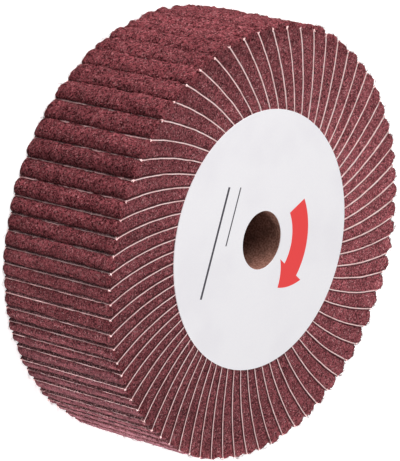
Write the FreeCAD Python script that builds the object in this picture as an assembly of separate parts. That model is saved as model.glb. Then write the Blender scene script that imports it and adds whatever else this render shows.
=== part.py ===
import FreeCAD, Part
import math
import os

os.makedirs("parts", exist_ok=True)

# Interleaved flap polishing wheel, lying on its back face.
# The axis is +Z through the origin, the back face is z = 0 and the label is on top.
# Lengths are millimetres and angles are degrees, counted counter-clockwise seen from the label.

# Bore, core tube, resin hub and label
bore_diameter = 20.0
core_wall = 5.0
hub_diameter = 64.0
wheel_width = 47.5
label_diameter = 90.0
label_thickness = 0.3
label_hole_clearance = 0.15

# Flaps: an abrasive leaf and a non-woven web flap take turns around the hub.
# Each leaf crosses the label's edge with a lean from the radius.
leaf_count = 71
first_leaf_angle = 6.2
leaf_lean_angle = 14.2
leaf_thickness = 0.6
leaf_reach = 30.6
leaf_bend_radius = 105.0
flap_chords = 5

# Round outer end of a web flap. It leaves the leaf before it close to that leaf's tip, swells
# past the tips, and falls back to the next leaf, whose grain side it leaves bare near the tip.
web_start_below_tip = 0.4
web_end_below_tip = 0.8
web_swell = 3.4
web_end_swell_share = 0.7
web_end_turn_angle = 45.0
nose_chords = 6

# The ring was pushed over unevenly, so places, leans and lengths swing around it.
# A swing has a size and the angle of its first peak. The first swing of a list goes once
# around the ring, the second twice, and so on.
reach_once = 1.13
reach_twice = 1.05
reach_thrice = 0.28
swell_once = 0.98
swell_twice = 0.69
swell_thrice = 0.21
sink_once = 0.35
sink_twice = 0.4
place_swings = [(7.1, 156.4), (4.2, -5.4)]
lean_swings = [(8.2, 90.3), (7.7, 123.4), (1.9, 33.4), (1.6, -13.4)]
reach_swings = [(reach_once, -158.4), (reach_twice, 49.5), (reach_thrice, 36.9)]
swell_swings = [(swell_once, 26.0), (swell_twice, -30.3), (swell_thrice, -33.2)]
sink_swings = [(sink_once, 270.0), (sink_twice, 245.0)]

# Flaps are grouped in packs, one node for the webs and one for the leaves of a pack
flaps_per_pack = 3

bore_radius = bore_diameter / 2
core_radius = bore_radius + core_wall
hub_radius = hub_diameter / 2
label_radius = label_diameter / 2


def cos_deg(angle):
    return math.cos(math.radians(angle))


def sin_deg(angle):
    return math.sin(math.radians(angle))


def tube(inner_radius, outer_radius, bottom, height):
    """A plain round tube on the wheel's axis."""
    base = FreeCAD.Vector(0, 0, bottom)
    outside = Part.makeCylinder(outer_radius, height, base)
    inside = Part.makeCylinder(inner_radius, height, base)
    return outside.cut(inside)


def swung(mean, swings, angle):
    """A value that swings about its mean around the ring."""
    total = mean
    for times, (size, peak) in enumerate(swings, 1):
        total += size * cos_deg(times * (angle - peak))
    return total


class Leaf:
    """The line of one abrasive leaf: a circular arc that bends counter-clockwise."""

    def __init__(self, number):
        place = 360.0 * number / leaf_count
        self.angle = swung(place + first_leaf_angle, place_swings, place)
        self.heading = self.angle + swung(leaf_lean_angle, lean_swings, self.angle)
        self.reach = swung(leaf_reach, reach_swings, self.angle)
        self.swell = swung(web_swell, swell_swings, self.angle)
        self.sink = swung(web_end_below_tip, sink_swings, self.angle)
        edge = FreeCAD.Vector(cos_deg(self.angle), sin_deg(self.angle), 0) * label_radius
        to_centre = FreeCAD.Vector(-sin_deg(self.heading), cos_deg(self.heading), 0)
        self.centre = edge + to_centre * leaf_bend_radius

    def face_radius(self, side):
        """Radius of the leaf's face: side +1 looks counter-clockwise, -1 clockwise."""
        return leaf_bend_radius - side * leaf_thickness / 2

    def point(self, side, heading):
        """The point of a face where its line runs in the given direction."""
        outward = FreeCAD.Vector(sin_deg(heading), -cos_deg(heading), 0)
        return self.centre + outward * self.face_radius(side)

    def root_heading(self, side):
        """Direction of a face's line where it leaves the hub."""
        away = self.centre.Length
        radius = self.face_radius(side)
        cosine = (hub_radius ** 2 - away ** 2 - radius ** 2) / (2 * away * radius)
        bearing = math.degrees(math.atan2(self.centre.y, self.centre.x))
        heading = bearing + 90 - math.degrees(math.acos(cosine))
        turns = round((self.heading - heading) / 360)
        return heading + 360 * turns

    def tip_heading(self, below_tip):
        """Direction of the line at a given distance short of the leaf's tip."""
        return self.heading + math.degrees((self.reach - below_tip) / leaf_bend_radius)

    def side_points(self, side, below_tip):
        """Points along a face from the hub outwards, where a web flap lies against it."""
        start = self.root_heading(side)
        stop = self.tip_heading(below_tip)
        step = (stop - start) / flap_chords
        return [self.point(side, start + step * n) for n in range(flap_chords + 1)]


def extrude(edges):
    """A flap as wide as the wheel, from the closed outline of its front edge."""
    face = Part.Face(Part.Wire(edges))
    return face.extrude(FreeCAD.Vector(0, 0, wheel_width))


def lines(points):
    return [Part.LineSegment(a, b).toShape() for a, b in zip(points, points[1:])]


def towards(start, target, distance):
    """The point at a given distance from the start, on the line through the target."""
    way = target - start
    return start + way * (distance / way.Length)


def turned_back(point, pivot, angle):
    """A point swung clockwise about a pivot."""
    turn = FreeCAD.Rotation(FreeCAD.Vector(0, 0, 1), -angle)
    return pivot + turn.multVec(point - pivot)


def hub_arc(start, stop):
    """The part of the hub's outline between two roots."""
    middle = start + stop
    middle = middle * (hub_radius / middle.Length)
    return Part.Arc(start, middle, stop).toShape()


def leaf_solid(leaf):
    """A stiff leaf of abrasive cloth, with both faces against the webs up to their ends."""
    clockwise = leaf.side_points(-1, leaf.sink)
    clockwise.append(leaf.point(-1, leaf.tip_heading(0)))
    counter = leaf.side_points(1, web_start_below_tip)
    counter.append(leaf.point(1, leaf.tip_heading(0)))
    outline = clockwise + counter[::-1]
    return extrude(lines(outline) + [hub_arc(counter[0], clockwise[0])])


def nose_points(leaf, following):
    """The swollen outer end of a web flap, from the face of one leaf to that of the next."""
    start = leaf.point(1, leaf.tip_heading(web_start_below_tip))
    end = following.point(-1, following.tip_heading(following.sink))
    tip = leaf.point(1, leaf.tip_heading(0))
    following_tip = following.point(-1, following.tip_heading(0))
    end_swell = towards(end, following_tip, leaf.swell * web_end_swell_share)
    curve = Part.BezierCurve()
    curve.setPoles([
        start,
        towards(start, tip, leaf.swell),
        turned_back(end_swell, end, web_end_turn_angle),
        end,
    ])
    return [curve.value(n / nose_chords) for n in range(nose_chords + 1)]


def web_solid(leaf, following):
    """A springy web flap that fills the wedge between two leaves and ends in a round nose."""
    inner = leaf.side_points(1, web_start_below_tip)
    outer = following.side_points(-1, following.sink)
    outline = inner[:-1] + nose_points(leaf, following) + outer[-2::-1]
    return extrude(lines(outline) + [hub_arc(outer[0], inner[0])])


def export(shape, node):
    shape.exportStep("parts/" + node + ".step")


# Middle of the wheel
export(tube(bore_radius, core_radius, 0, wheel_width), "core_tube")
export(tube(core_radius, hub_radius, 0, wheel_width), "resin_hub")
label_hole = bore_radius + label_hole_clearance
export(tube(label_hole, label_radius, wheel_width, label_thickness), "front_label")

# Ring of flaps
leaves = [Leaf(number) for number in range(leaf_count)]
leaf_solids = [leaf_solid(leaf) for leaf in leaves]
web_solids = [web_solid(leaf, leaves[(n + 1) % leaf_count]) for n, leaf in enumerate(leaves)]

pack_count = math.ceil(leaf_count / flaps_per_pack)
for pack in range(pack_count):
    members = slice(pack * flaps_per_pack, (pack + 1) * flaps_per_pack)
    number = "%02d" % (pack + 1)
    export(Part.makeCompound(web_solids[members]), "web_flaps_" + number)
    export(Part.makeCompound(leaf_solids[members]), "abrasive_leaves_" + number)
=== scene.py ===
import math

import bpy
import numpy as np
from mathutils import Matrix, Vector, noise


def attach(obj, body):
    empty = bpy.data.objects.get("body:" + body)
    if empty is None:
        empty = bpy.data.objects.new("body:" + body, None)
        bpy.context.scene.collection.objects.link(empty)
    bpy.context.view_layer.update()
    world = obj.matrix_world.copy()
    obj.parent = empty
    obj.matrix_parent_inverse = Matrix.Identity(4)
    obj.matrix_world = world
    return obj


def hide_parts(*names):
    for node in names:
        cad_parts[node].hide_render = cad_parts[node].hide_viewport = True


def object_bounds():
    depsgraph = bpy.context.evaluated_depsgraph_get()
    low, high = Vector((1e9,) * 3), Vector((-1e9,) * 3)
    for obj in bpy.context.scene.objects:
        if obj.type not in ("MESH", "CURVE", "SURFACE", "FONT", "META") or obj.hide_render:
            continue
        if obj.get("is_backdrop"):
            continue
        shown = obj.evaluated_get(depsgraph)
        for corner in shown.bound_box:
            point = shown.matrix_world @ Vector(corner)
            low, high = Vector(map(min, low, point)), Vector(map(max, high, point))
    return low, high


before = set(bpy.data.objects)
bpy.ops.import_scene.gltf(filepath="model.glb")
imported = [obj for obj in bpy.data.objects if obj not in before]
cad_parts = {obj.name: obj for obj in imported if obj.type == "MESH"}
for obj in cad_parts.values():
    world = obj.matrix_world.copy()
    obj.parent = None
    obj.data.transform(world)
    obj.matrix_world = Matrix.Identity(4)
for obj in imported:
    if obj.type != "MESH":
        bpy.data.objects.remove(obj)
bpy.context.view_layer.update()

# Interleaved flap polishing wheel, lying on its back face with the label on top.
# Lengths are metres, and the axis is +Z through the origin. The sizes of the hub, the label
# and the flaps are those of the solids.
MM = 0.001

hub_radius = 32.0 * MM
label_radius = 45.0 * MM
wheel_width = 47.5 * MM

# Ring of flaps. Angles are degrees, counter-clockwise seen from the label.
leaf_count = 71
leaf_thickness = 0.6 * MM
leaf_bend_radius = 105.0 * MM
leaf_lean = 14.2
leaf_reach = 30.6 * MM
first_leaf_at = 6.2
web_start_below_tip = 0.4 * MM
web_swell = 3.4 * MM
web_end_below_tip = 0.8 * MM
web_end_swell_share = 0.7
web_end_turned_back = 45.0

# The ring is uneven. A swing has a size and the angle of its first peak: the first of a list
# goes once around the ring, the second twice, and so on.
place_swings = ((7.1, 156.4), (4.2, -5.4))
lean_swings = ((8.2, 90.3), (7.7, 123.4), (1.9, 33.4), (1.6, -13.4))
reach_swings = ((1.13 * MM, -158.4), (1.05 * MM, 49.5), (0.28 * MM, 36.9))
swell_swings = ((0.98 * MM, 26.0), (0.69 * MM, -30.3), (0.21 * MM, -33.2))
sink_swings = ((0.35 * MM, 270.0), (0.40 * MM, 245.0))
flaps_per_pack = 3

# The webs are painted brighter and duller around the ring as painted light and shade: cut faces
# brightest on the right, rims darkest on the left. From flap to flap everything varies a little.
face_painted_light_swings = ((0.23, 12.0), (0.085, 0.0))
rim_painted_light_swings = ((0.117, -26.0), (0.042, 56.0))
tone_spread = 0.07
reach_spread = 0.20 * MM
swell_spread = 0.16
sink_spread = 0.2 * MM

# How finely the webs and leaves are divided
web_columns = 18
web_inner_rows = 10
web_outer_rows = 44
web_level_step = 0.40 * MM
leaf_rows = 26
leaf_tip_rows = 3
leaf_tip_length = 2.8 * MM
leaf_level_step = 0.95 * MM

# Springy non-woven surface
web_corner_radius = 0.8 * MM
lump_sizes = (8.0 * MM, 2.8 * MM)
lump_heights = (0.75 * MM, 0.50 * MM)
crumb_sizes = (1.4 * MM, 0.8 * MM)
crumb_heights = (0.44 * MM, 0.36 * MM)
fray_size, fray_height = 0.6 * MM, 0.55 * MM
brushed_size, brushed_reach = 3.5 * MM, 0.75 * MM
face_lump_sizes = (3.0 * MM, 1.1 * MM)
face_lump_heights = (0.10 * MM, 0.14 * MM)
web_sunk_at_leaf = 0.30 * MM
face_held_back = 0.05 * MM
nose_shoulder = 2.4 * MM

# Places around the ring where the webs and leaves differ. Each is the angle of its middle and
# how far it reaches to both sides. Noses: shouldered, puffed up, crumbled, frayed, brushed over
# the leaf's tip everywhere or here and there, and with weaker painted groove shade where they look
# brushed together and where they look full of dust
shoulder_place = (85.0, 65.0)
puffed_place = (95.0, 125.0)
crumbled_place = (10.0, 140.0)
frayed_place = (-15.0, 95.0)
brushed_place = (92.0, 50.0)
partly_brushed_place = (155.0, 60.0)
merged_place = (100.0, 65.0)
filled_place = (260.0, 26.0)
# Painted shade of a nose: lighter painted shade in the groove, and a slow fall of painted shade
# towards the next leaf
lighter_groove_shade_place = (235.0, 60.0)
slow_shade_place = (222.0, 42.0)
# Cut faces: dark by the rim, even from the label to the rim, and pale at the ends
dark_face_place = (78.0, 50.0)
even_face_place = (250.0, 75.0)
pale_end_place = (262.0, 40.0)
# Leaves: straight edges, clean tips, uneven wear, dusty grain, pale tips and thick corners
straight_place = (235.0, 80.0)
clean_tip_place = (225.0, 75.0)
worn_place = (165.0, 60.0)
dusty_place = (260.0, 24.0)
pale_tip_place = (258.0, 26.0)
thick_corner_place = (115.0, 80.0)
# Changes of the rim's painted light and shade and of its dust with painted sheen, each with its
# place
rim_painted_light_changes = ((0.05, (200.0, 40.0)), (0.46, (257.0, 32.0)), (-0.10, (132.0, 32.0)))
rim_dust_and_sheen = 0.1
rim_dust_and_sheen_changes = ((1.4, (240.0, 75.0)), (0.5, (260.0, 28.0)))

# Frayed fibres
fibres_per_web = 130
fibre_radius = 0.06 * MM
fibre_length = (0.8 * MM, 2.4 * MM)
fibre_root_depth = 0.12 * MM
threads_per_corner = 12
threads_per_tip = 20
thread_length = (0.25 * MM, 0.75 * MM)
thread_root_depth = 0.1 * MM

random_numbers = np.random.default_rng(71)


# Camera

# Field of view of the photograph, as a focal length in picture heights
focal_in_heights = 2844.0 / 461.0
axis_turned_right = 49.96
axis_tipped_down = 10.21
# Centre of the wheel's front from the camera: right, down and away, in label radii
front_centre = Vector((0.4629, 0.0727, 21.4366))

turn, tip = math.radians(axis_turned_right), math.radians(axis_tipped_down)
wheel_axis = Vector((
    math.sin(turn) * math.cos(tip),
    math.sin(tip),
    -math.cos(turn) * math.cos(tip),
))
picture_up = Vector((0, -1, 0))
wheel_up = (picture_up - wheel_axis * picture_up.dot(wheel_axis)).normalized()
wheel_right = wheel_up.cross(wheel_axis)
# Rows of this matrix are the wheel's X, Y and Z seen from the camera: right, down and away
seen = Matrix((wheel_right, wheel_up, wheel_axis))
camera_place = seen @ (-front_centre * label_radius) + Vector((0, 0, wheel_width))
camera_right = seen @ Vector((1, 0, 0))
camera_up = seen @ Vector((0, -1, 0))
camera_back = seen @ Vector((0, 0, -1))

camera_data = bpy.data.cameras.new("camera")
camera_data.sensor_width = 36.0
camera_data.lens = 36.0 * focal_in_heights
camera_data.clip_start = 0.01
camera_data.clip_end = 20.0
camera = bpy.data.objects.new("camera", camera_data)
camera.matrix_world = Matrix.Translation(camera_place) @ Matrix((
    camera_right, camera_up, camera_back,
)).transposed().to_4x4()
bpy.context.scene.collection.objects.link(camera)
bpy.context.scene.camera = camera


# Light, floor and background

lamp_distance = 0.8
key_from, key_power, key_size = (0.35, 1.0, 0.65), 6.0, 0.6
fill_from, fill_power, fill_size = (-0.1, -1.0, 0.10), 4.7, 0.25
sky_strength = 0.48
floor_glow = 0.56
floor_half_width = 4.0


def area_lamp(name, direction, power, size):
    """A soft square lamp that shines on the wheel, placed by right, up and back in the picture."""
    right, up, back = direction
    way = (camera_right * right + camera_up * up + camera_back * back).normalized()
    lamp_data = bpy.data.lights.new(name, "AREA")
    lamp_data.energy = power
    lamp_data.size = size
    lamp = bpy.data.objects.new(name, lamp_data)
    lamp.location = way * lamp_distance
    lamp.rotation_mode = "QUATERNION"
    lamp.rotation_quaternion = way.to_track_quat("Z", "Y")
    bpy.context.scene.collection.objects.link(lamp)


area_lamp("key_lamp", key_from, key_power, key_size)
area_lamp("fill_lamp", fill_from, fill_power, fill_size)

bpy.context.scene.view_settings.view_transform = "Standard"


class Nodes:
    """Short calls for building one material's node tree."""

    def __init__(self, tree):
        self.tree = tree
        tree.nodes.clear()

    def add(self, kind, **settings):
        node = self.tree.nodes.new(kind)
        for name, value in settings.items():
            setattr(node, name, value)
        return node

    def link(self, source, target):
        self.tree.links.new(source, target)

    def put(self, socket, value):
        """Sets a socket to a plain value, or links it to another node's output."""
        if isinstance(value, bpy.types.NodeSocket):
            self.link(value, socket)
        else:
            socket.default_value = value

    def math(self, operation, first, second=0.0, third=0.0, clamp=False):
        node = self.add("ShaderNodeMath", operation=operation, use_clamp=clamp)
        for socket, value in zip(node.inputs, (first, second, third)):
            self.put(socket, value)
        return node.outputs[0]

    def mix(self, share, first, second, blend="MIX"):
        """Mixes two colours."""
        node = self.add("ShaderNodeMix", data_type="RGBA", blend_type=blend)
        self.put(node.inputs["Factor"], share)
        self.put(node.inputs[6], first)
        self.put(node.inputs[7], second)
        return node.outputs[2]

    def dimmed(self, colour, value):
        """A colour with its brightness multiplied by a value."""
        node = self.add("ShaderNodeHueSaturation")
        self.link(value, node.inputs["Value"])
        self.link(colour, node.inputs["Color"])
        return node.outputs[0]

    def split(self, vector):
        node = self.add("ShaderNodeSeparateXYZ")
        self.link(vector, node.inputs[0])
        return node.outputs

    def ramp(self, value, low, high, out_low=0.0, out_high=1.0):
        """A smooth step of a value."""
        node = self.add("ShaderNodeMapRange", interpolation_type="SMOOTHSTEP")
        for socket, number in zip(node.inputs, (value, low, high, out_low, out_high)):
            self.put(socket, number)
        return node.outputs[0]

    def noise(self, where, size, detail=2.0, roughness=0.5, distortion=0.0):
        """Noise with features of about the given size in metres."""
        node = self.add("ShaderNodeTexNoise")
        self.link(where, node.inputs["Vector"])
        node.inputs["Scale"].default_value = 1.0 / size
        node.inputs["Detail"].default_value = detail
        node.inputs["Roughness"].default_value = roughness
        node.inputs["Distortion"].default_value = distortion
        return node.outputs["Fac"]

    def cells(self, where, size):
        """Three random numbers for each grain of about the given size in metres."""
        node = self.add("ShaderNodeTexVoronoi", feature="F1")
        self.link(where, node.inputs["Vector"])
        node.inputs["Scale"].default_value = 1.0 / size
        return self.split(node.outputs["Color"])

    def inside(self, value, low, high, soft):
        """One between two limits and zero outside them, with a soft edge."""
        rising = self.ramp(value, low - soft, low + soft)
        falling = self.ramp(value, high - soft, high + soft, 1.0, 0.0)
        return self.math("MULTIPLY", rising, falling)

    def strands(self, where, size, width, offset):
        """Thin winding lines, where smooth noise passes through its middle value."""
        moved = self.add("ShaderNodeVectorMath", operation="ADD")
        self.link(where, moved.inputs[0])
        moved.inputs[1].default_value = (offset, 2 * offset, 3 * offset)
        level = self.noise(moved.outputs[0], size, detail=0.0, distortion=0.6)
        distance = self.math("ABSOLUTE", self.math("SUBTRACT", level, 0.5))
        return self.ramp(distance, 0.0, width, 1.0, 0.0)


def srgb(red, green, blue):
    """A colour written in 0 to 255 as a picture shows it, for a shader socket."""
    def linear(value):
        value = value / 255.0
        if value <= 0.04045:
            return value / 12.92
        return ((value + 0.055) / 1.055) ** 2.4
    return (linear(red), linear(green), linear(blue), 1.0)


def new_material(name, roughness, specular):
    """A material with a Principled shader; returns it with its nodes, shader and coordinates."""
    made = bpy.data.materials.new(name)
    made.use_nodes = True
    nodes = Nodes(made.node_tree)
    shader = nodes.add("ShaderNodeBsdfPrincipled")
    shader.inputs["Roughness"].default_value = roughness
    shader.inputs["Specular IOR Level"].default_value = specular
    output = nodes.add("ShaderNodeOutputMaterial")
    nodes.link(shader.outputs[0], output.inputs["Surface"])
    where = nodes.add("ShaderNodeTexCoord").outputs["Object"]
    return made, nodes, shader, where


def bump(nodes, shader, height, distance, strength=1.0):
    node = nodes.add("ShaderNodeBump")
    node.inputs["Strength"].default_value = strength
    node.inputs["Distance"].default_value = distance
    nodes.link(height, node.inputs["Height"])
    nodes.link(node.outputs[0], shader.inputs["Normal"])


world = bpy.data.worlds.new("studio")
world.use_nodes = True
sky = Nodes(world.node_tree)
light_path = sky.add("ShaderNodeLightPath")
seen_directly = sky.math("MAXIMUM", light_path.outputs["Is Camera Ray"],
                         light_path.outputs["Is Glossy Ray"])
plain_light = sky.add("ShaderNodeBackground")
plain_light.inputs["Strength"].default_value = sky_strength
white_backdrop = sky.add("ShaderNodeBackground")
white_backdrop.inputs["Color"].default_value = (1, 1, 1, 1)
white_backdrop.inputs["Strength"].default_value = 1.0
plain_light.inputs["Color"].default_value = (1, 1, 1, 1)
sky_mix = sky.add("ShaderNodeMixShader")
sky.link(seen_directly, sky_mix.inputs[0])
sky.link(plain_light.outputs[0], sky_mix.inputs[1])
sky.link(white_backdrop.outputs[0], sky_mix.inputs[2])
sky_output = sky.add("ShaderNodeOutputWorld")
sky.link(sky_mix.outputs[0], sky_output.inputs[0])
bpy.context.scene.world = world

floor_material, nodes, shader, where = new_material("floor_paint", 0.9, 0.1)
floor_grain = nodes.noise(where, 4 * MM, detail=3.0)
nodes.link(
    nodes.mix(floor_grain, (0.93, 0.93, 0.93, 1), (0.96, 0.96, 0.96, 1)),
    shader.inputs["Base Color"],
)
# The floor's own light is seen only by the camera, so that it stays white around the shadow.
light_path = nodes.add("ShaderNodeLightPath")
nodes.link(
    nodes.math("MULTIPLY", light_path.outputs["Is Camera Ray"], floor_glow),
    shader.inputs["Emission Strength"],
)
shader.inputs["Emission Color"].default_value = (1, 1, 1, 1)

floor_mesh = bpy.data.meshes.new("floor")
floor_corners = [
    (x * floor_half_width, y * floor_half_width, 0)
    for x, y in ((-1, -1), (1, -1), (1, 1), (-1, 1))
]
floor_mesh.from_pydata(floor_corners, [], [(0, 1, 2, 3)])
floor_mesh.materials.append(floor_material)
floor = bpy.data.objects.new("floor", floor_mesh)
bpy.context.scene.collection.objects.link(floor)
floor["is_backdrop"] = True


# Materials of the wheel

# Non-woven web: a tangle of maroon strands over dark gaps, with grit on the strands
web_material, nodes, shader, where = new_material("nonwoven_web", 0.88, 0.05)
tone = nodes.add("ShaderNodeAttribute", attribute_name="tone").outputs["Fac"]
cut = nodes.add("ShaderNodeAttribute", attribute_name="cut").outputs["Fac"]
tangle = nodes.math(
    "MAXIMUM",
    nodes.strands(where, 0.9 * MM, 0.075, 0.013),
    nodes.math(
        "MAXIMUM",
        nodes.strands(where, 0.7 * MM, 0.070, 0.041),
        nodes.strands(where, 1.3 * MM, 0.050, 0.077),
    ),
)
grit = nodes.cells(where, 0.40 * MM)
fine_grit = nodes.cells(where, 0.35 * MM)
depth = nodes.noise(where, 1.1 * MM, detail=2.0)


def web_height(grain, grain_weight, depth_weight):
    """Relief of the web: its strands, its grit and the hollows between lumps."""
    fine = nodes.math("ADD", nodes.math("MULTIPLY", tangle, 0.15),
                      nodes.math("MULTIPLY", grain, grain_weight))
    return nodes.math("ADD", fine, nodes.math("MULTIPLY", depth, depth_weight))


height = web_height(grit[0], 0.6, 0.8)
# A cut face is flat and shows finer grit.
flat_height = web_height(fine_grit[0], 0.6, 0.42)
outer = nodes.mix(nodes.ramp(height, 0.47, 0.95), srgb(50, 8, 12), srgb(157, 79, 86))
outer = nodes.mix(nodes.ramp(grit[1], 0.80, 1.0, 0.0, 0.6), outer, srgb(208, 144, 146))
outer = nodes.mix(nodes.ramp(grit[2], 0.0, 0.36, 0.7, 0.0), outer, srgb(26, 5, 8))
sliced = nodes.mix(nodes.ramp(flat_height, 0.12, 0.92), srgb(34, 9, 13), srgb(172, 94, 101))
sliced = nodes.mix(nodes.ramp(fine_grit[1], 0.86, 1.0, 0.0, 0.7), sliced, srgb(226, 170, 171))
sliced = nodes.mix(nodes.ramp(fine_grit[2], 0.04, 0.30, 0.85, 0.0), sliced, srgb(30, 8, 12))
powder = nodes.mix(nodes.ramp(height, 0.34, 0.96), srgb(50, 23, 30), srgb(161, 112, 121))
# The cut attribute mixes in the paler palette of a cut face and, above one, the pale powder; on the
# outer end it carries dust and, at the lower rim, a painted sheen.
body = nodes.mix(nodes.math("MULTIPLY", cut, 0.85), outer, sliced)
body = nodes.mix(nodes.ramp(cut, 0.95, 2.0, 0.0, 0.9), body, powder)
patches = nodes.math(
    "MULTIPLY",
    nodes.ramp(nodes.noise(where, 14 * MM, detail=2.0), 0.3, 0.7, 0.90, 1.10),
    nodes.ramp(nodes.noise(where, 3 * MM, detail=1.0), 0.3, 0.7, 0.88, 1.12),
)
# The tone attribute carries random tone and the painted light and shade of the rims and faces.
body = nodes.dimmed(body, nodes.math("MULTIPLY", tone, patches))
nodes.link(body, shader.inputs["Base Color"])
bump(nodes, shader, height, 0.22 * MM)

# Cotton cloth of the leaves, seen at its cut edges
cloth_material, nodes, shader, where = new_material("cut_cloth", 0.85, 0.2)
thread = nodes.noise(where, 0.5 * MM, detail=2.0)
stain = nodes.noise(where, 5.0 * MM, detail=2.0)
cloth = nodes.mix(nodes.ramp(thread, 0.35, 0.65), srgb(255, 207, 205), srgb(255, 235, 234))
cloth = nodes.mix(nodes.ramp(stain, 0.45, 0.75, 0.0, 0.3), cloth, srgb(176, 118, 114))
rubbed = nodes.add("ShaderNodeAttribute", attribute_name="cut").outputs["Fac"]
cloth = nodes.mix(rubbed, cloth, srgb(170, 92, 92))
worn = nodes.add("ShaderNodeAttribute", attribute_name="tone").outputs["Fac"]
nodes.link(nodes.dimmed(cloth, worn), shader.inputs["Base Color"])
bump(nodes, shader, thread, 0.1 * MM)

# Abrasive grain on the clockwise face of each leaf
grain_material, nodes, shader, where = new_material("abrasive_grain", 0.7, 0.35)
grains = nodes.add("ShaderNodeTexVoronoi", feature="F1")
nodes.link(where, grains.inputs["Vector"])
grains.inputs["Scale"].default_value = 1.0 / (0.45 * MM)
speckle = nodes.noise(where, 0.45 * MM, detail=1.0)
grain = nodes.mix(nodes.ramp(grains.outputs["Distance"], 0.1, 0.7),
                  srgb(136, 88, 92), srgb(52, 28, 32))
grain = nodes.mix(nodes.ramp(speckle, 0.56, 0.66), grain, srgb(176, 138, 138))
dyed = nodes.add("ShaderNodeAttribute", attribute_name="cut").outputs["Fac"]
grain = nodes.mix(dyed, grain, srgb(118, 58, 62))
worn = nodes.add("ShaderNodeAttribute", attribute_name="tone").outputs["Fac"]
nodes.link(nodes.dimmed(grain, worn), shader.inputs["Base Color"])
bump(nodes, shader, nodes.math("SUBTRACT", 1.0, grains.outputs["Distance"]), 0.2 * MM)

# Label paper with its generic print: a turning arrow and two thin rules
arrow_radius, arrow_half_width = 20.5 * MM, 4.3 * MM
arrow_tail_at, arrow_head_at, arrow_tip_at = 36.0, -30.0, -54.0
arrow_head_slope = 7.4 * MM / (arrow_head_at - arrow_tip_at)
rule_slant = -0.18
label_rules = (
    (-24.5 * MM, 1.0 * MM, -20.0 * MM, 18.0 * MM),
    (-18.5 * MM, 0.6 * MM, -2.0 * MM, 18.0 * MM),
)
paper_material, nodes, shader, where = new_material("label_paper", 0.6, 0.35)
paper_grain = nodes.noise(where, 0.6 * MM, detail=3.0)
paper_cloud = nodes.noise(where, 18 * MM, detail=2.0)
paper = nodes.mix(paper_grain, srgb(248, 246, 251), srgb(255, 253, 255))
paper = nodes.mix(nodes.ramp(paper_cloud, 0.4, 0.7, 0.0, 0.35), paper, srgb(240, 237, 243))

across, along = nodes.split(where)[:2]
bearing = nodes.math("MULTIPLY", nodes.math("ARCTAN2", along, across), 180.0 / math.pi)
radius = nodes.math("SQRT", nodes.math(
    "ADD", nodes.math("MULTIPLY", across, across), nodes.math("MULTIPLY", along, along)))
off_band = nodes.math("ABSOLUTE", nodes.math("SUBTRACT", radius, arrow_radius))
past_tip = nodes.math("SUBTRACT", bearing, arrow_tip_at)
head_width = nodes.math("MULTIPLY", past_tip, arrow_head_slope)
on_shaft = nodes.inside(bearing, arrow_head_at - 2.0, arrow_tail_at, 0.25)
shaft = nodes.math("MULTIPLY", on_shaft, nodes.inside(off_band, -1.0, arrow_half_width, 0.1 * MM))
over_head = nodes.math("SUBTRACT", head_width, off_band)
head = nodes.math(
    "MULTIPLY",
    nodes.inside(bearing, arrow_tip_at, arrow_head_at, 0.25),
    nodes.ramp(over_head, -0.1 * MM, 0.1 * MM),
)
paper = nodes.mix(nodes.math("MAXIMUM", shaft, head), paper, srgb(244, 68, 68))
ruled = nodes.math("ADD", across, nodes.math("MULTIPLY", along, rule_slant))
for place, width, low, high in label_rules:
    rule = nodes.math(
        "MULTIPLY",
        nodes.inside(ruled, place - width / 2, place + width / 2, 0.08 * MM),
        nodes.inside(along, low, high, 0.08 * MM),
    )
    paper = nodes.mix(rule, paper, srgb(66, 62, 72))
nodes.link(paper, shader.inputs["Base Color"])
bump(nodes, shader, paper_grain, 0.02 * MM, 0.5)

# Wound kraft paper of the core tube
kraft_material, nodes, shader, where = new_material("wound_kraft", 0.85, 0.2)
kraft_fibre = nodes.noise(where, 0.7 * MM, detail=3.0)
kraft_cloud = nodes.noise(where, 3.5 * MM, detail=2.0)
kraft = nodes.mix(nodes.ramp(kraft_fibre, 0.3, 0.7), srgb(102, 64, 53), srgb(150, 110, 97))
kraft = nodes.mix(nodes.ramp(kraft_cloud, 0.5, 0.7, 0.0, 0.5), kraft, srgb(88, 62, 52))
# The side of the bore towards -Y, its lower side as the wheel stands on its rim, is painted
# brighter as painted light, and the rest a little darker as painted shade.
painted_light_low_in_bore = nodes.ramp(nodes.split(where)[1], -10.5 * MM, -1.0 * MM, 1.55, 0.96)
nodes.link(nodes.dimmed(kraft, painted_light_low_in_bore), shader.inputs["Base Color"])
bump(nodes, shader, kraft_fibre, 0.06 * MM)

# Resin that bonds the roots of the flaps
resin_material, nodes, shader, where = new_material("bonding_resin", 0.45, 0.4)
resin_flow = nodes.noise(where, 2.5 * MM, detail=3.0)
resin_dust = nodes.noise(where, 0.5 * MM, detail=2.0)
resin = nodes.mix(nodes.ramp(resin_flow, 0.3, 0.7), srgb(96, 58, 50), srgb(134, 88, 74))
resin = nodes.mix(nodes.ramp(resin_dust, 0.55, 0.75, 0.0, 0.5), resin, srgb(170, 120, 108))
nodes.link(resin, shader.inputs["Base Color"])
bump(nodes, shader, resin_flow, 0.3 * MM)

for node_name, cad_material in (
    ("front_label", paper_material),
    ("core_tube", kraft_material),
    ("resin_hub", resin_material),
):
    cad_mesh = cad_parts[node_name].data
    cad_mesh.materials.clear()
    cad_mesh.materials.append(cad_material)


# Lines of the ring

def turned(direction_degrees):
    """Unit vector in the wheel's plane."""
    angle = np.radians(direction_degrees)
    return np.stack([np.cos(angle), np.sin(angle)], axis=-1)


def swung(mean, swings, angle):
    """A value that swings about its mean around the ring."""
    return mean + sum(
        size * math.cos(math.radians(times * (angle - peak)))
        for times, (size, peak) in enumerate(swings, 1)
    )


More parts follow.
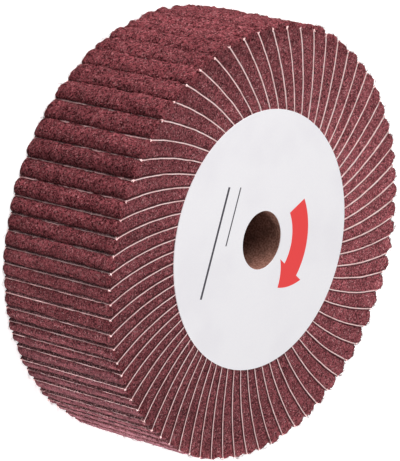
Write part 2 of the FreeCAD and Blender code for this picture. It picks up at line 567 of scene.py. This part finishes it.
class Leaf:
    """The line of one abrasive leaf: a circular arc that bends counter-clockwise."""

    def __init__(self, number):
        place = 360.0 * number / leaf_count
        self.angle = swung(place + first_leaf_at, place_swings, place)
        self.heading = self.angle + swung(leaf_lean, lean_swings, self.angle)
        self.reach = swung(leaf_reach, reach_swings, self.angle)
        self.swell = swung(web_swell, swell_swings, self.angle)
        self.sink = swung(web_end_below_tip, sink_swings, self.angle)
        self.reach += random_numbers.normal(0, reach_spread)
        self.swell *= random_numbers.uniform(1 - swell_spread, 1 + swell_spread)
        self.sink += random_numbers.uniform(-sink_spread, sink_spread)
        edge = turned(self.angle) * label_radius
        self.centre = edge + turned(self.heading + 90) * leaf_bend_radius

    def point(self, side, heading):
        """Point of the face at the given side of the middle, -1 to 1, counter-clockwise."""
        radius = leaf_bend_radius - side * leaf_thickness / 2
        return self.centre + turned(np.asarray(heading) - 90) * radius

    def root_heading(self, side):
        """Direction of a face's line where it leaves the hub."""
        away = np.hypot(*self.centre)
        radius = leaf_bend_radius - side * leaf_thickness / 2
        cosine = (hub_radius ** 2 - away ** 2 - radius ** 2) / (2 * away * radius)
        bearing = math.degrees(math.atan2(self.centre[1], self.centre[0]))
        heading = bearing + 90 - math.degrees(math.acos(cosine))
        return heading + 360 * round((self.heading - heading) / 360)

    def tip_heading(self, below_tip):
        return self.heading + math.degrees((self.reach - below_tip) / leaf_bend_radius)

    def side_line(self, side, below_tip, shares):
        """Points along a face from the hub outwards, at shares of its length."""
        start, stop = self.root_heading(side), self.tip_heading(below_tip)
        return self.point(side, start + (stop - start) * shares)


def towards(start, target, distance):
    way = target - start
    return start + way * (distance / np.hypot(*way))


def turned_back(point, pivot, angle):
    """A point swung clockwise about a pivot."""
    across, along = turned(-angle)
    x, y = point - pivot
    return pivot + np.array([across * x - along * y, along * x + across * y])


def evenly(line, count):
    """A fine line cut into steps of equal length."""
    steps = np.hypot(*np.diff(line, axis=0).T)
    length = np.concatenate([[0], np.cumsum(steps)])
    wanted = np.linspace(0, length[-1], count + 1)
    return np.stack([np.interp(wanted, length, line[:, axis]) for axis in (0, 1)], axis=-1)


def near(angle, place):
    """One at the middle of a place, falling to zero at its reach to both sides."""
    middle, reach = place
    away = abs((angle - middle + 180.0) % 360.0 - 180.0)
    return max(0.0, 1.0 - (away / reach) ** 2)


def changed(value, changes, angle):
    """A value with the changes of the places that an angle is near."""
    return value + sum(change * near(angle, place) for change, place in changes)


def line_normals(line):
    """Outward normals of a line that runs counter-clockwise around the wheel."""
    along = np.gradient(line, axis=0)
    along /= np.hypot(*along.T)[:, None]
    return np.stack([along[:, 1], -along[:, 0]], axis=-1)


def nose_line(leaf, following):
    """Swollen outer end of a web, from the face of one leaf to that of the next."""
    start = leaf.point(1, leaf.tip_heading(web_start_below_tip))
    end = following.point(-1, following.tip_heading(following.sink))
    tip_point = leaf.point(1, leaf.tip_heading(0))
    following_tip = following.point(-1, following.tip_heading(0))
    end_swell = turned_back(
        towards(end, following_tip, leaf.swell * web_end_swell_share), end, web_end_turned_back)
    poles = (start, towards(start, tip_point, leaf.swell), end_swell, end)
    share = np.linspace(0, 1, 61)[:, None]
    weights = (
        (1 - share) ** 3, 3 * share * (1 - share) ** 2,
        3 * share ** 2 * (1 - share), share ** 3,
    )
    line = sum(weight * pole for weight, pole in zip(weights, poles))
    arch = np.sin(math.pi * share)
    shoulders = nose_shoulder * near(leaf.angle, shoulder_place) * (np.sqrt(np.abs(arch)) - arch)
    return evenly(line + line_normals(line) * shoulders, web_columns)


def roughness_at(points, size, seed):
    """Smooth random numbers around zero for points in space, with bumps of a given size."""
    placed = points.reshape(-1, 3) / size + 31.7 * seed
    values = np.array([noise.noise(place) for place in placed.tolist()])
    return values.reshape(points.shape[:-1])


def lumps(points, sizes, heights, seed):
    return sum(
        height * roughness_at(points, size, seed + n)
        for n, (size, height) in enumerate(zip(sizes, heights))
    )


# Mesh building

class Piece:
    """Points, triangles and paint of one piece, gathered part by part."""

    def __init__(self):
        self.points, self.triangles, self.slots = [], [], []
        self.paint = {"tone": [], "cut": []}
        self.count = 0

    def add_points(self, points, tone=1.0, cut=0.0):
        """Adds points and returns their numbers in the same arrangement."""
        shape = points.shape[:-1]
        number = int(np.prod(shape))
        self.points.append(points.reshape(-1, 3))
        for name, value in (("tone", tone), ("cut", cut)):
            self.paint[name].append(np.broadcast_to(value, shape).reshape(-1))
        numbers = np.arange(self.count, self.count + number).reshape(shape)
        self.count += number
        return numbers

    def add_triangles(self, triangles, slot=0, flip=False):
        triangles = np.asarray(triangles).reshape(-1, 3)
        self.triangles.append(triangles[:, ::-1] if flip else triangles)
        self.slots.append(np.full(len(triangles), slot))

    def add_grid(self, numbers, slot=0, flip=False):
        """Covers a grid of points; its normal is the first direction crossed with the second."""
        a, b = numbers[:-1, :-1], numbers[1:, :-1]
        c, d = numbers[1:, 1:], numbers[:-1, 1:]
        halves = np.stack([np.stack([a, b, c], -1), np.stack([a, c, d], -1)], 2)
        self.add_triangles(halves, slot, flip)

    def add_side(self, back, front, column, slot=0, flip=False):
        """Covers a hidden side with long faces, and joins it to a finely divided end column."""
        self.add_grid(np.stack([back[:-1], front[:-1]], axis=1), slot, flip)
        middle = len(column) // 2
        low, high = back[-2], front[-2]
        fans = [(low, a, b) for a, b in zip(column[:middle], column[1:middle + 1])]
        fans.append((low, column[middle], high))
        fans += [(high, a, b) for a, b in zip(column[middle:-1], column[middle + 1:])]
        self.add_triangles(fans, slot, flip)

    def make(self, name, materials, smooth):
        mesh = bpy.data.meshes.new(name)
        points, triangles = np.concatenate(self.points), np.concatenate(self.triangles)
        mesh.from_pydata(points, [], triangles)
        for material in materials:
            mesh.materials.append(material)
        mesh.polygons.foreach_set("material_index", np.concatenate(self.slots).astype(np.int32))
        mesh.polygons.foreach_set("use_smooth", np.full(len(triangles), smooth))
        for label, values in self.paint.items():
            attribute = mesh.attributes.new(label, "FLOAT", "POINT")
            attribute.data.foreach_set("value", np.concatenate(values).astype(np.float32))
        mesh.update()
        made = bpy.data.objects.new(name, mesh)
        bpy.context.scene.collection.objects.link(made)
        return made


def add_tubes(piece, paths, radii, tone, slot=0):
    """Thin three-sided strands that taper to their ends; paths is strands x points x 3."""
    count, steps = paths.shape[:2]
    along = np.gradient(paths, axis=1)
    along /= np.linalg.norm(along, axis=-1, keepdims=True)
    aside = np.cross(along, random_numbers.normal(size=(count, 1, 3)))
    aside /= np.linalg.norm(aside, axis=-1, keepdims=True)
    upright = np.cross(along, aside)
    taper = 1.0 - 0.6 * np.abs(np.linspace(-1, 1, steps)) ** 3
    rings = []
    for corner in range(3):
        turn_angle = 2 * math.pi * corner / 3
        spoke = aside * math.cos(turn_angle) + upright * math.sin(turn_angle)
        rings.append(paths + spoke * (radii[:, None] * taper)[..., None])
    corners = np.stack(rings, axis=2)
    numbers = piece.add_points(corners, tone=tone[:, None, None])
    closed = np.concatenate([numbers, numbers[:, :, :1]], axis=2)
    a, b = closed[:, :-1, :-1], closed[:, 1:, :-1]
    c, d = closed[:, 1:, 1:], closed[:, :-1, 1:]
    walls = np.stack([np.stack([a, c, b], -1), np.stack([a, d, c], -1)], 3)
    piece.add_triangles(walls, slot)
    piece.add_triangles(numbers[:, 0], slot)
    piece.add_triangles(numbers[:, -1], slot, flip=True)


# Webs

inner_share = 0.30
web_shares = np.concatenate([
    np.linspace(0, inner_share, web_inner_rows + 1)[:-1],
    np.linspace(inner_share, 1, web_outer_rows + 1),
])
across_shares = np.linspace(0, 1, web_columns + 1)
corner_angles = np.radians([0, 30, 60, 90])
straight_levels = np.linspace(
    web_corner_radius, wheel_width - web_corner_radius,
    round((wheel_width - 2 * web_corner_radius) / web_level_step) + 1)
corner_levels = web_corner_radius * (1 - np.cos(corner_angles[:-1]))
corner_insets = web_corner_radius * (1 - np.sin(corner_angles[:-1]))
web_levels = np.concatenate([
    corner_levels, straight_levels, wheel_width - corner_levels[::-1]])
web_insets = np.concatenate([
    corner_insets, np.zeros(len(straight_levels)), corner_insets[::-1]])


def with_level(flat_points, level):
    """Points of the wheel's plane lifted to a height."""
    level = np.broadcast_to(level, flat_points.shape[:-1])
    return np.concatenate([flat_points, level[..., None]], axis=-1)


def stretched_face(inner, outer, root, end):
    """Rows of points that fill the wedge between two leaves out to the web's nose."""
    share = web_shares[:, None, None]
    across = across_shares[None, :, None]
    between_leaves = inner[:, None] * (1 - across) + outer[:, None] * across
    between_ends = root[None] * (1 - share) + end[None] * share
    corners = (
        root[0] * (1 - share) * (1 - across) + root[-1] * (1 - share) * across
        + end[0] * share * (1 - across) + end[-1] * share * across
    )
    return between_leaves + between_ends - corners


def uneven_nose(leaf, following, number, nose, normals):
    """Lumps, crumbs and frays of a web's outer end, brushed over the leaf's tip in places."""
    base = nose[None] - normals[None] * web_insets[:, None, None]
    solid = with_level(base, web_levels[:, None])
    frayed = near(leaf.angle, frayed_place)
    puffed = 0.25 + 0.75 * near(leaf.angle, puffed_place)
    crumbled = 0.25 + 0.75 * near(leaf.angle, crumbled_place) + 0.4 * frayed
    rise = puffed * lumps(solid, lump_sizes, lump_heights, 3)
    rise = rise + crumbled * lumps(solid, crumb_sizes, crumb_heights, 6)
    rise = rise + frayed * fray_height * roughness_at(solid, fray_size, 15)
    # The surface settles close to the leaf it starts from and into the groove where it ends.
    settle = np.interp(across_shares, (0.0, 0.12, 0.9, 1.0), (0.45, 1.0, 1.0, 0.6))
    rise = rise * settle[None]
    lip = np.interp(across_shares, (0.0, 0.10, 0.30), (1.0, 0.8, 0.0))
    brushed = near(following.angle, brushed_place) + 0.8 * roughness_at(
        solid[:, :1], brushed_size, 11 + number)
    brushed += random_numbers.uniform(-0.4, 0.7) * near(following.angle, partly_brushed_place)
    to_corner = np.minimum(web_levels, wheel_width - web_levels)[:, None]
    brushed = np.clip(brushed, 0, 1) * lip[None] * np.clip(to_corner / (3 * MM) - 0.3, 0, 1)
    over_tip = -turned(leaf.tip_heading(0) + 90) * 0.8 + turned(leaf.tip_heading(0)) * 0.9
    flat = base + normals[None] * rise[..., None]
    return flat + over_tip * (brushed * brushed_reach)[..., None]


def cut_face(inner, outer, root, end, level):
    """Uneven points of a web's face at a level, from its root to its outer end."""
    spread = with_level(stretched_face(inner, outer, root, end), level)
    sunk = web_sunk_at_leaf * np.interp(across_shares, (0, 0.07, 0.93, 1), (1, 0, 0, 1))
    lift = lumps(spread, face_lump_sizes, face_lump_heights, 23) - sunk[None]
    # Nothing stands above the plane under the label or below the plane it lies on.
    under_label = np.hypot(spread[..., 0], spread[..., 1]) < label_radius + MM
    held = under_label | (level == 0.0)
    lift = np.where(held, np.minimum(lift, 0) - face_held_back, lift)
    spread[..., 2] += lift if level > 0 else -lift
    return spread


def face_tones(leaf, own_tone):
    """Brightness of the cut faces from the hub outwards, with painted light and shade around the
    ring.
    """
    beyond_label = np.clip((web_shares - inner_share) / (1 - inner_share), 0, 1)[:, None]
    dark, even = near(leaf.angle, dark_face_place), near(leaf.angle, even_face_place)
    pale_ends = 0.25 * near(leaf.angle, frayed_place) + 0.5 * near(leaf.angle, pale_end_place)
    return swung(own_tone, face_painted_light_swings, leaf.angle) * (
        1 + 0.14 * (1 - even) * (1 - beyond_label) ** 2
        - 0.32 * dark * beyond_label ** 2.5 + pale_ends * beyond_label ** 8
    )


def rim_paint(leaf, own_tone):
    """Tone with painted light and shade, and dust with painted sheen, of a web's outer end, by
    level and across the web.
    """
    # Painted light and shade across each nose: brighter near the leaf it starts from, darker
    # towards the groove at the next leaf.
    low_end = 0.40 + 0.16 * near(leaf.angle, lighter_groove_shade_place)
    shaded = np.interp(
        across_shares, (0, 0.08, 0.25, 0.46, 0.66, 0.86, 1),
        (0.98, 1.12, 1.14, 1.02, 0.82, 0.60, low_end))
    slow = 0.8 * near(leaf.angle, slow_shade_place)
    slowly_shaded = np.interp(across_shares, (0, 0.12, 0.35, 0.6, 1), (1.08, 1.14, 1.0, 0.74, 0.62))
    shaded = shaded * (1 - slow) + slowly_shaded * slow
    # The painted groove shade is weaker where noses look brushed together and where grooves look
    # full of dust.
    painted_shade_lifted = max(0.7 * near(leaf.angle, merged_place), 0.8 * near(leaf.angle, filled_place))
    shaded = shaded * (1 - painted_shade_lifted) + painted_shade_lifted
    # Near the front corner the rim is painted brighter, a painted highlight of the rounded corner;
    # the same mask adds fray dust there.
    near_front = np.clip(1 - (wheel_width - web_levels) / (2.5 * MM), 0, 1)[:, None]
    # Painted light and shade around the ring: the rim darkest on the left and brightest at the
    # bottom.
    tone = swung(own_tone - 0.08, rim_painted_light_swings, leaf.angle)
    tone = changed(tone, rim_painted_light_changes, leaf.angle) * shaded[None] * (1 + 0.18 * near_front)
    # Dust, and towards the lower rim a painted sheen: paler, greyer fibres.
    dust_and_sheen = changed(rim_dust_and_sheen, rim_dust_and_sheen_changes, leaf.angle)
    return tone, np.maximum(dust_and_sheen, 0.9 * near(leaf.angle, frayed_place) * near_front)


def add_web(piece, number):
    """One web flap; returns the points of its outer end and their outward normals."""
    leaf, following = leaves[number], leaves[(number + 1) % leaf_count]
    own_tone = random_numbers.uniform(1 - tone_spread, 1 + tone_spread)
    nose = nose_line(leaf, following)
    normals = line_normals(nose)
    flat = uneven_nose(leaf, following, number, nose, normals)
    nose_points = with_level(flat, web_levels[:, None])

    inner = leaf.side_line(1, web_start_below_tip, web_shares)
    outer = following.side_line(-1, following.sink, web_shares)
    turn_from, turn_to = (math.atan2(p[1], p[0]) for p in (inner[0], outer[0]))
    turn_to += 2 * math.pi * round((turn_from - turn_to) / (2 * math.pi))
    bearings = np.degrees(turn_from + (turn_to - turn_from) * across_shares)
    root = turned(bearings) * hub_radius

    # A cut face shows finer grit than the outer end, and frayed ends look cut too.
    face_tone = face_tones(leaf, own_tone)
    to_nose = np.linspace(1, 0, len(web_shares))[:, None] * 12
    frayed = near(leaf.angle, frayed_place)
    faces = {}
    for side, level, end in (("front", wheel_width, flat[-1]), ("back", 0.0, flat[0])):
        spread = cut_face(inner, outer, root, end, level)
        ragged = 1.2 * roughness_at(spread, 1.5 * MM, 27)
        sliced_share = np.clip(np.maximum(to_nose + ragged, 0.9 * frayed), 0, 1)
        faces[side] = piece.add_points(spread, face_tone, cut=sliced_share)
    rim_tone, dust_and_sheen = rim_paint(leaf, own_tone)
    middle = piece.add_points(nose_points[1:-1], rim_tone[1:-1], cut=dust_and_sheen[1:-1])
    column = np.concatenate([faces["back"][-1:], middle, faces["front"][-1:]])

    piece.add_grid(faces["front"])
    piece.add_grid(faces["back"], flip=True)
    piece.add_grid(column, flip=True)
    piece.add_side(faces["back"][:, 0], faces["front"][:, 0], column[:, 0])
    piece.add_side(faces["back"][:, -1], faces["front"][:, -1], column[:, -1], flip=True)
    piece.add_grid(np.stack([faces["back"][0], faces["front"][0]]))
    return nose_points, normals


def add_fray(piece, nose_points, normals, count):
    """Loose fibres that start in the web and lie over its outer end."""
    levels, columns = nose_points.shape[:2]
    level = random_numbers.integers(1, levels - 1, count)
    at_edge = random_numbers.uniform(size=count)
    level = np.where(at_edge < 0.24, levels - 2 - level % 4, level)
    level = np.where(at_edge > 0.92, 1 + level % 4, level)
    column = random_numbers.integers(0, columns, count)
    start = nose_points[level, column]
    out = np.concatenate([normals[column], np.zeros((count, 1))], axis=1)
    across = np.cross(out, (0, 0, 1.0))
    angle = random_numbers.uniform(0, 2 * math.pi, count)[:, None]
    flat_way = across * np.cos(angle) + np.array([[0, 0, 1.0]]) * np.sin(angle)
    bend_way = across * -np.sin(angle) + np.array([[0, 0, 1.0]]) * np.cos(angle)
    length = random_numbers.uniform(*fibre_length, count)[:, None]
    lift = random_numbers.uniform(-0.05, 0.45, count)[:, None]
    bend = random_numbers.normal(0, 0.35, count)[:, None]
    steps = np.linspace(0, 1, 4)[None, :, None]
    paths = (
        (start - out * fibre_root_depth)[:, None]
        + (flat_way * length)[:, None] * steps
        + (bend_way * bend * length)[:, None] * steps ** 2
        + (out * length)[:, None] * (lift[:, None] * 2.2 * steps * (1.15 - steps))
    )
    paths[..., 2] = np.clip(paths[..., 2], 0.10 * MM, wheel_width + 0.25 * MM)
    tones = random_numbers.uniform(0.7, 1.45, count)
    tones = np.where(random_numbers.uniform(size=count) < 0.03, 2.2, tones)
    radii = random_numbers.uniform(0.7, 1.25, count) * fibre_radius
    add_tubes(piece, paths, radii, tones)


# Leaves

grain_side = -0.25
leaf_levels = np.linspace(0, wheel_width, round(wheel_width / leaf_level_step) + 1)


def leaf_points(leaf, side, rows, levels, number):
    """Points of one face, with the small waves that the cloth has along its edges."""
    start = leaf.root_heading(side)
    stop = leaf.tip_heading(leaf_tip_length)
    tip_heading = leaf.tip_heading(0)
    headings = np.concatenate([
        np.linspace(start, stop, leaf_rows + 1),
        np.linspace(stop, tip_heading, leaf_tip_rows + 1)[1:],
    ])[rows]
    flat = leaf.point(side, headings)[:, None] + np.zeros((1, len(levels), 1))
    solid = with_level(flat, levels[None])
    beyond = np.clip((np.hypot(*flat[:, 0].T) - label_radius) / (8 * MM), 0, 1)[:, None]
    straight = 1 - 0.6 * near(leaf.angle, straight_place)
    wave = straight * beyond * (0.16 * MM * roughness_at(solid, 7 * MM, 40 + number)
                                + 0.10 * MM * roughness_at(solid, 2 * MM, 50 + number))
    sideways = turned(headings + 90)[:, None]
    flat = flat + sideways * wave[..., None]
    at_tip = np.clip((headings - stop) / (tip_heading - stop), 0, 1)[:, None]
    ragged = straight * at_tip * 0.20 * MM * roughness_at(solid, 1.6 * MM, 60 + number)
    flat = flat + turned(headings)[:, None] * ragged[..., None]
    solid = with_level(flat, levels[None])
    proud = 0.12 * MM * (np.hypot(*np.moveaxis(flat, -1, 0)) > label_radius + 0.6 * MM)
    rough = 0.05 * MM * roughness_at(solid, 0.9 * MM, 70)
    top = np.isclose(solid[..., 2], wheel_width)
    solid[..., 2] += np.where(top, proud + np.minimum(rough, proud), 0)
    return solid


def add_leaf(piece, number):
    leaf = leaves[number]
    last = leaf_rows + leaf_tip_rows
    every = np.arange(last + 1)
    edges = {}
    for side, tone, cut in ((-1.0, 0.5, 1.0), (grain_side, 1.0, 0.2), (1.0, 1.0, 0.0)):
        line = leaf_points(leaf, side, every, leaf_levels[[0, -1]], number)
        edges[side] = piece.add_points(line, tone=tone, cut=cut)
    inside = leaf_levels[1:-1]
    outer_rows = np.arange(leaf_rows, last + 1)
    grids = {}
    clean = near(leaf.angle, clean_tip_place)
    own_wear = 1 + random_numbers.uniform(-0.5, 0.5) * near(leaf.angle, worn_place)
    tip_tone = 0.85 + 0.15 * clean + 0.25 * near(leaf.angle, pale_tip_place)
    dusty = near(leaf.angle, dusty_place)
    grain_tone = 1.6 * min(tip_tone, 1.0) * (1 + 0.8 * dusty)
    for side, tone in ((-1.0, grain_tone), (1.0, tip_tone)):
        line = leaf_points(leaf, side, outer_rows, inside, number)
        uneven = own_wear * (1 + (1.5 - 1.1 * clean) * roughness_at(line, 2.2 * MM, 80))
        tip_cut = 0.6 - 0.3 * clean if side > 0 else 0.8 * dusty
        middle = piece.add_points(line, tone=tone * uneven, cut=tip_cut)
        ends = edges[side][leaf_rows:]
        grids[side] = np.concatenate([ends[:, :1], middle, ends[:, 1:]], axis=1)
    ridge = piece.add_points(
        leaf_points(leaf, grain_side, every[-1:], inside, number),
        tone=tip_tone * own_wear, cut=0.2)
    ridge = np.concatenate([edges[grain_side][-1:, :1], ridge, edges[grain_side][-1:, 1:]], axis=1)

    cloth_slot, grain_slot = 0, 1
    for side, slot, flip in ((-1.0, grain_slot, False), (1.0, cloth_slot, True)):
        back, front = edges[side][:leaf_rows + 1].T
        piece.add_side(back, front, grids[side][0], slot, flip)
        piece.add_grid(grids[side], slot, flip)
    for low, high, slot in ((-1.0, grain_side, grain_slot), (grain_side, 1.0, cloth_slot)):
        for end, flip in ((1, False), (0, True)):
            strip = np.stack([edges[low][:, end], edges[high][:, end]], axis=1)
            piece.add_grid(strip, slot, flip)
        piece.add_grid(np.stack([edges[low][0], edges[high][0]], axis=0), slot, flip=True)
    tips = np.concatenate([grids[-1.0][-1:], ridge, grids[1.0][-1:]])
    piece.add_grid(tips[:2], grain_slot)
    piece.add_grid(tips[1:], cloth_slot)
    return leaf_points(leaf, 0.4, every[-1:], leaf_levels, number)[0]


def add_threads(piece, leaf, tip_points):
    """Pale threads that stand out of the cut cloth at its tip, most of them at its corners."""
    ends = np.concatenate([
        np.repeat(tip_points[[-1]], threads_per_corner, axis=0),
        np.repeat(tip_points[[0]], threads_per_corner, axis=0),
        tip_points[random_numbers.integers(1, len(tip_points) - 1, threads_per_tip)],
    ])
    count = len(ends)
    outward = np.append(turned(leaf.tip_heading(0)), 0)
    way = outward * random_numbers.uniform(0.2, 1.0, (count, 1))
    way = way + random_numbers.normal(0, 0.45, (count, 3))
    way /= np.linalg.norm(way, axis=1, keepdims=True)
    length = random_numbers.uniform(*thread_length, count)[:, None]
    steps = np.linspace(0, 1, 4)[None, :, None]
    droop = random_numbers.normal(0, 0.25, (count, 1, 3)) * length[:, None]
    paths = (ends - outward * thread_root_depth)[:, None] + (way * length)[:, None] * steps
    paths = paths + droop * steps ** 2
    paths[..., 2] = np.clip(paths[..., 2], 0.25 * MM, wheel_width + 0.3 * MM)
    at_corner = np.arange(count) < 2 * threads_per_corner
    corner_size = 1.5 + 1.2 * near(leaf.angle, thick_corner_place)
    radii = random_numbers.uniform(0.8, 1.4, count) * np.where(at_corner, corner_size, 1.0)
    add_tubes(piece, paths, radii * fibre_radius, np.where(at_corner, 1.3, 0.9), slot=0)


leaves = [Leaf(number) for number in range(leaf_count)]
for pack in range(math.ceil(leaf_count / flaps_per_pack)):
    members = range(pack * flaps_per_pack, min((pack + 1) * flaps_per_pack, leaf_count))
    label = "%02d" % (pack + 1)
    web_piece, leaf_piece = Piece(), Piece()
    for number in members:
        nose_points, normals = add_web(web_piece, number)
        angle = leaves[number].angle
        more, fewer = near(angle, frayed_place), near(angle, straight_place)
        fibres = round(fibres_per_web * (1 + 0.6 * more - 0.5 * fewer))
        add_fray(web_piece, nose_points, normals, fibres)
        tip_points = add_leaf(leaf_piece, number)
        add_threads(leaf_piece, leaves[number], tip_points)
    webs = web_piece.make("webs_" + label, [web_material], smooth=True)
    cloths = leaf_piece.make("leaves_" + label, [cloth_material, grain_material], smooth=False)
    for made, node_name, slot_name in (
        (webs, "web_flaps_" + label, "web"),
        (cloths, "abrasive_leaves_" + label, "abrasive_cloth"),
    ):
        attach(made, "root")
        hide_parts(node_name)


low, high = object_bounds()
